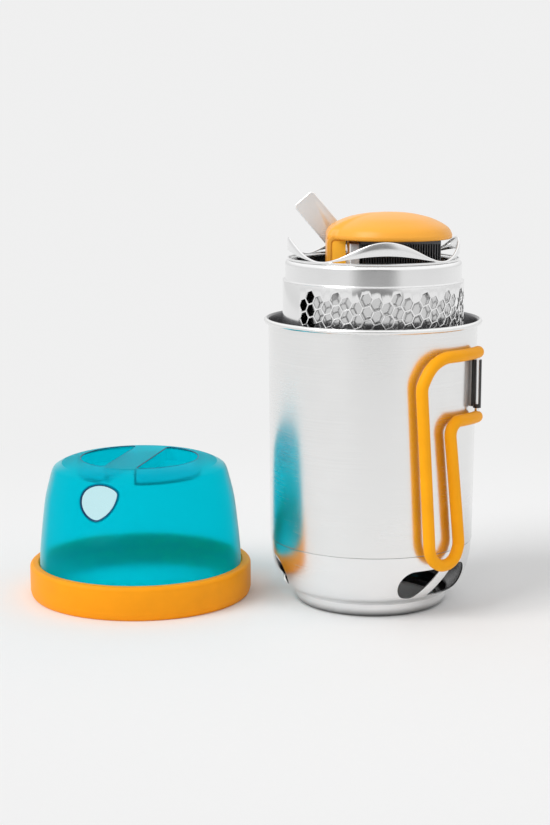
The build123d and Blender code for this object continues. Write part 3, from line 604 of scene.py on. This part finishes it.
MATERIALS = {
    # the pot steel's inside colour is painted shade for the pot's inner walls
    "brushed_steel_pot": steel("pot_steel", (0.90, 0.90, 0.895), 0.22, brush=1.0, anisotropic=0.5,
                               inside=(0.16, 0.16, 0.165)),
    "polished_steel": steel("bright_steel", (0.90, 0.90, 0.90), 0.15, brush=0.35, anisotropic=0.3),
    "inner_steel": steel("chamber_steel", (0.70, 0.70, 0.70), 0.14, brush=0.5),
    "bracket_black": painted("bracket_paint", (0.008, 0.008, 0.009), 0.32),
    "handle_silicone": silicone("handle_rubber", (1.0, 0.41, 0.004)),
    "cap_orange": moulded("cap_plastic", (1.0, 0.44, 0.045), 0.36, coat=0.15),
    # the panel's glow value is painted light that brightens it in the shade of the cap's overhang
    "panel_orange": moulded("panel_plastic_painted_light", (1.0, 0.47, 0.03), 0.34, painted_glow=0.16),
    "heat_plate_alu": metal("plate_aluminium", (0.90, 0.90, 0.91), 0.30),
    "copper_probe": metal("probe_copper", (0.62, 0.31, 0.18), 0.30),
    "fin_black": anodised("fin_anodised", (0.004, 0.004, 0.005), (0.17, 0.17, 0.175)),
    "black_plastic": moulded("black_plastic", (0.018, 0.018, 0.02), 0.42),
    "wafer_ceramic": moulded("wafer_ceramic", (0.82, 0.82, 0.79), 0.5, grain=0.2),
    "battery_grey": moulded("battery_film", (0.05, 0.06, 0.075), 0.25, grain=0.05, coat=0.4),
    "board_green": board("board_mask", (0.01, 0.09, 0.035), (0.02, 0.2, 0.08)),
    "cover_blue": clear_plastic("cover_plastic", tint=(0.0, 0.46, 0.60), pale=(0.62, 0.92, 0.97),
                                body=(0.0, 0.60, 0.78), haze=0.34),
    "collar_orange": silicone("collar_rubber", (1.0, 0.36, 0.005)),
}
# painted shade: a near-black inside for the skirt's shaded hollow, and a painted dark reflection of
# the shaded floor along the bottom edge (foot)
SKIRT_STEEL = steel("skirt_steel", (0.93, 0.93, 0.93), 0.22, brush=0.9, anisotropic=0.5,
                    inside=(0.035, 0.035, 0.037), foot=7.5)
LEG_STEEL = steel("leg_steel", (0.90, 0.90, 0.90), 0.30, brush=0.3, metallic=0.55)
EDGE_BLUE = moulded("cover_edge", (0.0, 0.06, 0.15), 0.3, grain=0.0)
SLOTS = {part["node"]: part["material_slot"] for part in frame["record"]["subparts"]}


# ---- pot ----------------------------------------------------------------------------------

def pot_can():
    """Drawn pot: straight wall, rolled rim and a closed, round-cornered bottom."""
    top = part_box("pot_body")[1].z / MM
    bead = (WALL_R_TOP + BEAD_OUT, top - BEAD_R)
    outline = rounded([
        (0, FLOOR_Z, 0), (NECK_R, FLOOR_Z, FLOOR_CORNER), (NECK_R, SEAM_Z, 0.25),
        (SEAM_R, SEAM_Z, 0.3), (WALL_R_TOP, bead[1] - BEAD_JOINS[0], 0)])[:-1]
    outline += arc(bead, BEAD_R, BEAD_START, 180, 28)
    outline += rounded([
        (WALL_R_TOP - WALL, bead[1] - BEAD_JOINS[1], 0), (SEAM_R - WALL, SEAM_Z + WALL, 0.4),
        (NECK_R - WALL, SEAM_Z + WALL, 0.4), (NECK_R - WALL, FLOOR_Z + WALL, FLOOR_CORNER - WALL),
        (0, FLOOR_Z + WALL, 0)])
    finish_piece(turned("pot_can", outline), "pot", "brushed_steel_pot", "pot_body")


def window_openings():
    """Flat outlines of a window's two openings, either side of its slanting strut."""
    low, high = WINDOW_Z
    end_r = (high - low) / 2
    middle, reach = (low + high) / 2, WINDOW_WIDTH / 2 - end_r
    along = Vector((cos(radians(STRUT_ANGLE)), sin(radians(STRUT_ANGLE))))
    square = Vector((-along.y, along.x)) * STRUT_WIDTH / 2

    def crossing(side, height):
        edge = Vector(STRUT_AT) + square * side
        return edge.x + (height - edge.y) * along.x / along.y

    left = arc((-reach, middle), end_r, 90, 270, 20)
    right = arc((reach, middle), end_r, -90, 90, 20)
    foot, head = crossing(1, low), crossing(1, high)
    first = rounded([(*left[-1], 0), (foot, low, STRUT_CORNERS[0]), (head, high, 0), (*left[0], 0)])
    second_foot, second_head = crossing(-1, low), crossing(-1, high)
    second = rounded([(*right[-1], 0), (second_head, high, 0), (second_foot, low, STRUT_CORNERS[1]),
                      (*right[0], 0)])
    return left[:-1] + first[:-1], right[:-1] + second[:-1]


def pot_skirt():
    """Heat-collecting foot: bowl, crease and ring, with three long windows."""
    bowl, foot = smooth_curve(BOWL, 8), smooth_curve(FOOT)
    inner_bowl, inner_foot = moved_in(bowl, SKIRT_WALL), moved_in(foot, SKIRT_WALL)
    lip = OPENING_R + SKIRT_WALL
    bead = arc((OPENING_R + LIP_BEAD_R, OPENING_LIP - LIP_BEAD_R), LIP_BEAD_R, 180, 0, 8)
    outline = (bowl + foot[1:] + [(OPENING_R + OPENING_EASE, 0), (OPENING_R, OPENING_EASE)] + bead
               + [(lip, SKIRT_WALL)] + inner_foot[1:][::-1] + inner_bowl[::-1])
    skirt = turned("skirt", outline)
    cutters = []
    for azimuth in WINDOW_AZIMUTHS:
        out, across = outward(azimuth), outward(azimuth + 90)
        for opening in window_openings():
            cutters.append(prism(
                "cutter", opening, lambda x, y, d: out * d + across * x + Vector((0, 0, y)),
                *WINDOW_CUT))
    cut(skirt, cutters)
    soften(skirt, SKIRT_SOFT, segments=3)
    finish_piece(skirt, "pot", "brushed_steel_pot", "pot_skirt", material=SKIRT_STEEL)


# ---- stove --------------------------------------------------------------------------------

def pot_stand():
    """Wavy ring with a rounded lip and a lens-shaped slot under each crest."""
    (_, _, foot), (_, _, crest) = (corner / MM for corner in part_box("pot_stand"))
    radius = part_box("pot_stand")[1].x / MM
    trough = foot + STAND_TROUGH_RISE

    def rise(azimuth):
        return (1 + cos(radians((azimuth - STAND_AZIMUTH) * STAND_WAVES))) / 2

    def slot_height(up):
        return foot + STAND_SLOT_FOOT + STAND_SLOT_RISE * up ** STAND_SLOT_BLUNT

    def place(azimuth, height, r):
        return outward(azimuth) * r + Vector((0, 0, height))

    sill = slot_height(rise(STAND_AZIMUTH + STAND_SLOT_END / STAND_WAVES))
    verts, faces, edge = [], [], []
    for i in range(FINE_SEGMENTS):
        azimuth = 360 * i / FINE_SEGMENTS
        top = trough + (crest - trough) * rise(azimuth) - STAND_LIP_R
        low = min(sill, top - 2 * STAND_LEAST)
        slot = min(max(slot_height(rise(azimuth)), low), top - STAND_LEAST)
        heights = (foot, low, slot, (slot + top) / 2, top)
        verts += [place(azimuth, z, radius - WALL / 2) for z in heights]
        edge.append(place(azimuth, top, radius - STAND_LIP_R))
    step = len(heights)
    for i in range(FINE_SEGMENTS):
        j = (i + 1) % FINE_SEGMENTS
        for low, high in ((0, 1), (2, 3), (3, 4)):      # the slot is the gap from 1 to 2
            faces.append((i * step + low, j * step + low, j * step + high, i * step + high))
    stand = new_object("stand_sheet", verts, faces)
    modify(stand, "SOLIDIFY", thickness=WALL * MM, offset=0)
    soften(stand, STAND_SOFT)
    finish_piece(stand, "stove", "polished_steel", "pot_stand")
    finish_piece(tube("stand_lip", edge, STAND_LIP_R), "stove", "polished_steel")


def top_cap():
    """Plain band with a rounded shoulder, a turned-in mouth and a lap over the honeycomb."""
    low, high = (corner.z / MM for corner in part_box("top_cap"))
    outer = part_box("top_cap")[1].x / MM
    band, mouth = outer - CAP_LAP, CAP_MOUTH_R
    outline = rounded([
        (outer, low, 0.2), (outer, low + WALL, 0.35), (band, low + WALL, 0.3),
        (band, high, CAP_SHOULDER), (mouth, high, 0.35), (mouth, high - WALL, 0.35),
        (band - WALL, high - WALL, CAP_SHOULDER - WALL), (band - WALL, low, 0)], 8)
    finish_piece(turned("cap_band", outline), "stove", "polished_steel", "top_cap")


# ---- power module -------------------------------------------------------------------------

def cap_reach(angle):
    """Distance from the cap's centre to its edge: a circle with a flat-sided tab on its left."""
    c, s = cos(angle), sin(angle)
    tab = 0
    if c < 0:
        side, end = (CAP_CENTRE_X - CAP_TAB_X) / -c, CAP_TAB_Y / max(abs(s), 1e-6)
        tab = (side ** -CAP_TAB_SHARP + end ** -CAP_TAB_SHARP) ** (-1 / CAP_TAB_SHARP)
    if not tab:
        return CAP_R
    return (CAP_R ** CAP_JOIN_SHARP + tab ** CAP_JOIN_SHARP) ** (1 / CAP_JOIN_SHARP)


def module_cap():
    """Domed cap over a tab, with a side wall that runs down on its left."""
    profile = [(r / CAP_R, z) for r, z in smooth_curve(CAP_DOME)]
    inner = [(t * (1 - CAP_THICK / CAP_R), z - CAP_THICK) for t, z in reversed(profile)]
    edge = [(t, CAP_RIM_Z - CAP_BAND + up) for t, up in CAP_RIM_EDGE]
    loop = profile + edge + inner
    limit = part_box("module_cap")
    verts, faces, n = [], [], len(loop)
    for i in range(CAP_SEGMENTS):
        angle = tau * i / CAP_SEGMENTS
        reach = cap_reach(angle)
        for t, z in loop:
            x, y = CAP_CENTRE_X + t * reach * cos(angle), t * reach * sin(angle)
            verts.append((max(x, limit[0].x / MM), y, z))
    for i in range(CAP_SEGMENTS):
        j = (i + 1) % CAP_SEGMENTS
        faces += [(i * n + k, j * n + k, j * n + k + 1, i * n + k + 1) for k in range(n - 1)]
    dome = new_object("cap_dome", verts, faces)
    finish_piece(dome, "module", "cap_orange", "module_cap", angle=50)

    outer, inner = CAP_TAB_X, CAP_TAB_X + CAP_SIDE_WALL
    end, top = CAP_TAB_X + CAP_ARCH_REACH, CAP_RIM_Z + CAP_ARCH_LAP
    ceiling = CAP_RIM_Z - CAP_SIDE_WALL
    arch = rounded([
        (outer, CAP_SIDE_Z, CAP_ARCH_FOOT_R), (inner, CAP_SIDE_Z, CAP_ARCH_FOOT_R),
        (inner, ceiling, CAP_ARCH_BEND_R), (end, ceiling, 0), (end, top, 0),
        (outer, top, CAP_TAB_SHOULDER)], 8)
    side = prism("cap_side", arch, lambda x, z, y: (x, y, z), -CAP_TAB_Y, CAP_TAB_Y)
    soften(side, CAP_SIDE_SOFT, segments=3)
    finish_piece(side, "module", "cap_orange")


# ---- cover --------------------------------------------------------------------------------

def dished(r, z, angle, grow):
    """A dome point after the thumb dish, a ball, has pressed it in, with a soft edge to the dish.
    Points four blend lengths outside the ball stay where they are."""
    middle = outward(THUMB_AZIMUTH) * (DISH_WALL_R + DISH_R - DISH_DEPTH) + Vector((0, 0, DISH_Z))
    away = Vector((r * cos(angle), r * sin(angle), z)) - middle
    depth = DISH_R + grow - away.length
    if z < DOME_SIDE[0][1] or r < WELL_R or depth < -4 * DISH_BLEND:
        return r, z
    press = (depth + hypot(depth, DISH_BLEND)) / 2
    to_axis = Vector((-cos(angle), -sin(angle), 0))
    slope = max(abs(away.normalized().dot(to_axis)), DISH_LEAST_SLOPE)
    return r - press / slope, z


def dome_solid(name, inset):
    """Cover dome as a closed solid, moved in by inset, with the thumb dish pressed in."""
    side = smooth_curve(DOME_SIDE)[:-1] + smooth_curve([DOME_SIDE[-1]] + DOME_SHOULDER)
    wall = moved_in(side[::-1], inset)[::-1]
    top = wall[-1][1]
    across = [(r, top) for r in DOME_TOP_RINGS]
    if inset:
        foot = [(0, DOME_FOOT - CUT_PAST), (wall[0][0], DOME_FOOT - CUT_PAST)]
    else:
        low, high = DOME_FLANGE_Z
        foot = [(0, low), (DOME_FLANGE_R, low), (DOME_FLANGE_R, high), (wall[0][0], high)]
    return turned(name, foot + wall + across, COVER_AT, FINE_SEGMENTS,
                  lambda r, z, a: dished(r, z, a, inset))


def well_outlines(grow):
    """The two half-moon finger wells on the cover's top, grown all over by grow."""
    reach, corner = WELL_R + grow, WELL_CORNER + grow
    turn = radians(-GRIP_ANGLE)
    outlines = []
    for side in (-1, 1):
        chord = GRIP_WIDTH / 2 - grow + side * GRIP_OFFSET * cos(turn)
        x = chord + corner
        y = ((reach - corner) ** 2 - x ** 2) ** 0.5
        bow = atan2(y, x) * 180 / pi
        outline = (arc((0, 0), reach, -bow, bow, 40)[:-1] + arc((x, y), corner, bow, 180, 8)
                   + arc((x, -y), corner, 180, 360 - bow, 8)[:-1])
        outlines.append([(COVER_AT[0] + side * (u * cos(turn) - v * sin(turn)),
                          COVER_AT[1] + side * (u * sin(turn) + v * cos(turn)))
                         for u, v in outline])
    return outlines


def finger_wells(grow):
    """Cutters for the two wells."""
    return [prism("well", outline, lambda x, y, z: (x, y, z), WELL_FLOOR_Z - grow, WELL_CUT_TOP)
            for outline in well_outlines(grow)]


def thumb_outline():
    """Pick-shaped opening, narrow end down, as (across, up) points."""
    return blunted(THUMB_ARCS, THUMB_CORNER)


def at_thumb(x, z, distance):
    """Point over the thumb hole, at a distance from the cover's axis."""
    return (Vector((*COVER_AT, 0)) + outward(THUMB_AZIMUTH) * distance
            + outward(THUMB_AZIMUTH + 90) * x + Vector((0, 0, z)))


def edge_lines(dome):
    """The dark lines seen along the edges of the thumb hole and the wells, just under the dome's
    surface. The dome is still uncut here."""
    bpy.context.view_layer.update()
    surface = BVHTree.FromObject(dome, bpy.context.evaluated_depsgraph_get())
    inwards = -outward(THUMB_AZIMUTH)
    hits = [surface.ray_cast(at_thumb(x, z, THUMB_RAY_FROM) * MM, inwards)[0]
            for x, z in thumb_outline()]
    lines = [tube("thumb_rim", [hit / MM + inwards * THUMB_RIM_R for hit in hits], THUMB_RIM_R)]
    height = DOME_SHOULDER[-1][1] - WELL_LINE_R
    for number, outline in enumerate(well_outlines(0), 1):
        lines.append(tube(f"well_line_{number}", [(x, y, height) for x, y in outline], WELL_LINE_R,
                          sides=8))
    for line in lines:
        finish_piece(line, "cover", "cover_blue", material=EDGE_BLUE)


def cover_dome():
    """See-through dome with finger wells, a thumb dish and its hole."""
    dome = dome_solid("dome", 0)
    edge_lines(dome)
    cut(dome, finger_wells(0))
    hollow = dome_solid("hollow", COVER_WALL)
    cut(hollow, finger_wells(COVER_WALL))
    cut(dome, [hollow, prism("thumb", thumb_outline(), at_thumb, *THUMB_CUT)])
    soften(dome, DOME_SOFT, segments=3, angle=40)
    finish_piece(dome, "cover", "cover_blue", "cover_dome", angle=40)


def cover_collar():
    """Soft ring that grips the dome's flange, with a rounded top edge and an undercut foot."""
    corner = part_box("cover_collar")[1]
    outer, height, seat = corner.x / MM - COVER_AT[0], corner.z / MM, COLLAR_SEAT_R
    neck, flange = DOME_SIDE[0][0] + COLLAR_FIT, DOME_FLANGE_R + COLLAR_FIT
    low, high = DOME_FLANGE_Z[0] - COLLAR_FIT, DOME_FLANGE_Z[1] + COLLAR_FIT
    foot = smooth_curve([(outer, COLLAR_FOOT_Z[0]), (outer - COLLAR_UNDERCUT, COLLAR_FOOT_Z[1]),
                         (seat + COLLAR_UNDERCUT, 0)])
    outline = rounded([
        (seat, 0, 0.3), *((r, z, 0) for r, z in foot[::-1]), (outer, height, COLLAR_TOP_R),
        (neck + COLLAR_NECK_SLOPE, height, 0.5), (neck, height - COLLAR_NECK_SLOPE, 0.5),
        (neck, high, 0), (flange, high, 0), (flange, low, 0), (neck - COLLAR_LEDGE, low, 0),
        (neck - COLLAR_LEDGE, COLLAR_SEAT_H, 0.3), (seat, COLLAR_SEAT_H, 0.4)], 8)
    finish_piece(turned("collar", outline, COVER_AT), "cover", "collar_orange", "cover_collar")


# ---- build --------------------------------------------------------------------------------

for node, obj in frame["nodes"].items():
    obj.data.materials.clear()
    obj.data.materials.append(MATERIALS[SLOTS[node]])

pot_can()
pot_skirt()
pot_stand()
top_cap()
module_cap()
cover_dome()
cover_collar()
for node, width in SOFT_EDGES.items():
    softened_node(node, width, LEG_STEEL if node == "support_leg" else None)


# ---- stage, light and camera ---------------------------------------------------------------

def studio_floor():
    """Plain pale floor that fades into the backdrop's even tone away from the set."""
    r = FLOOR_REACH
    floor = new_object("floor", [(-r, -r, 0), (r, -r, 0), (r, r, 0), (-r, r, 0)], [(0, 1, 2, 3)])
    n = Nodes("floor_paper")
    dark, light = ((tone, tone, tone) for tone in FLOOR_TONES)
    grain = n.spread(n.noise(180.0, 2.0), 0.0, 1.0)
    paper = n.add("BsdfDiffuse", {"Color": n.blend(grain, dark, light)})
    away = n.add("VectorMath", {0: n.add("TexCoord").outputs["Object"]}, operation="LENGTH")
    even = n.add("Emission", {"Color": (1, 1, 1), "Strength": BACKDROP})
    fade = n.ramp(away.outputs["Value"], *FLOOR_FADE)
    n.surface(n.layer(fade, paper.outputs[0], even.outputs[0]))
    floor.data.materials.append(n.material)


def studio_world():
    """Even white light. The camera sees the backdrop's tone, and mirror-like parts see a sky that
    is paler upwards, with a darker band behind the camera."""
    world = bpy.data.worlds.new("studio")
    bpy.context.scene.world = world
    n = Nodes(owner=world)
    direction = n.add("SeparateXYZ", {0: n.add("TexCoord").outputs["Generated"]})
    front = n.math("MULTIPLY", direction.outputs["Y"], -1.0)
    band = n.ramp(front, BAND_FROM, BAND_FULL, 1.0, BAND_TONE)
    mirrored = n.math("MULTIPLY", band, n.ramp(direction.outputs["Z"], -0.1, 0.55, 0.72, 1.08))
    rays = n.add("LightPath").outputs
    lit = n.choose(rays["Is Glossy Ray"], SKY, mirrored)
    strength = n.choose(rays["Is Camera Ray"], lit, BACKDROP)
    n.surface(n.add("Background", {"Color": (1, 1, 1), "Strength": strength}).outputs[0])


def soft_sun(azimuth, elevation, strength, spread):
    """Sun with soft shadows, placed by the direction it comes from."""
    data = bpy.data.lights.new("soft_sun", "SUN")
    data.energy, data.angle = strength, radians(spread)
    light = bpy.data.objects.new("soft_sun", data)
    bpy.context.scene.collection.objects.link(light)
    side = outward(azimuth) * cos(radians(elevation)) + Vector((0, 0, sin(radians(elevation))))
    light.rotation_mode = "QUATERNION"
    light.rotation_quaternion = side.to_track_quat("Z", "Y")


def studio_camera():
    """Camera at the photograph's viewing angle."""
    data = bpy.data.cameras.new("camera")
    data.sensor_width, data.lens = SENSOR, LENS
    camera = bpy.data.objects.new("camera", data)
    bpy.context.scene.collection.objects.link(camera)
    camera.location = CAMERA_AT
    camera.rotation_euler = (radians(90 - CAMERA_DOWN), 0, 0)
    bpy.context.scene.camera = camera


studio_floor()
studio_world()
soft_sun(azimuth=-58, elevation=44, strength=1.45, spread=34)
studio_camera()
bpy.context.scene.view_settings.view_transform = "Standard"
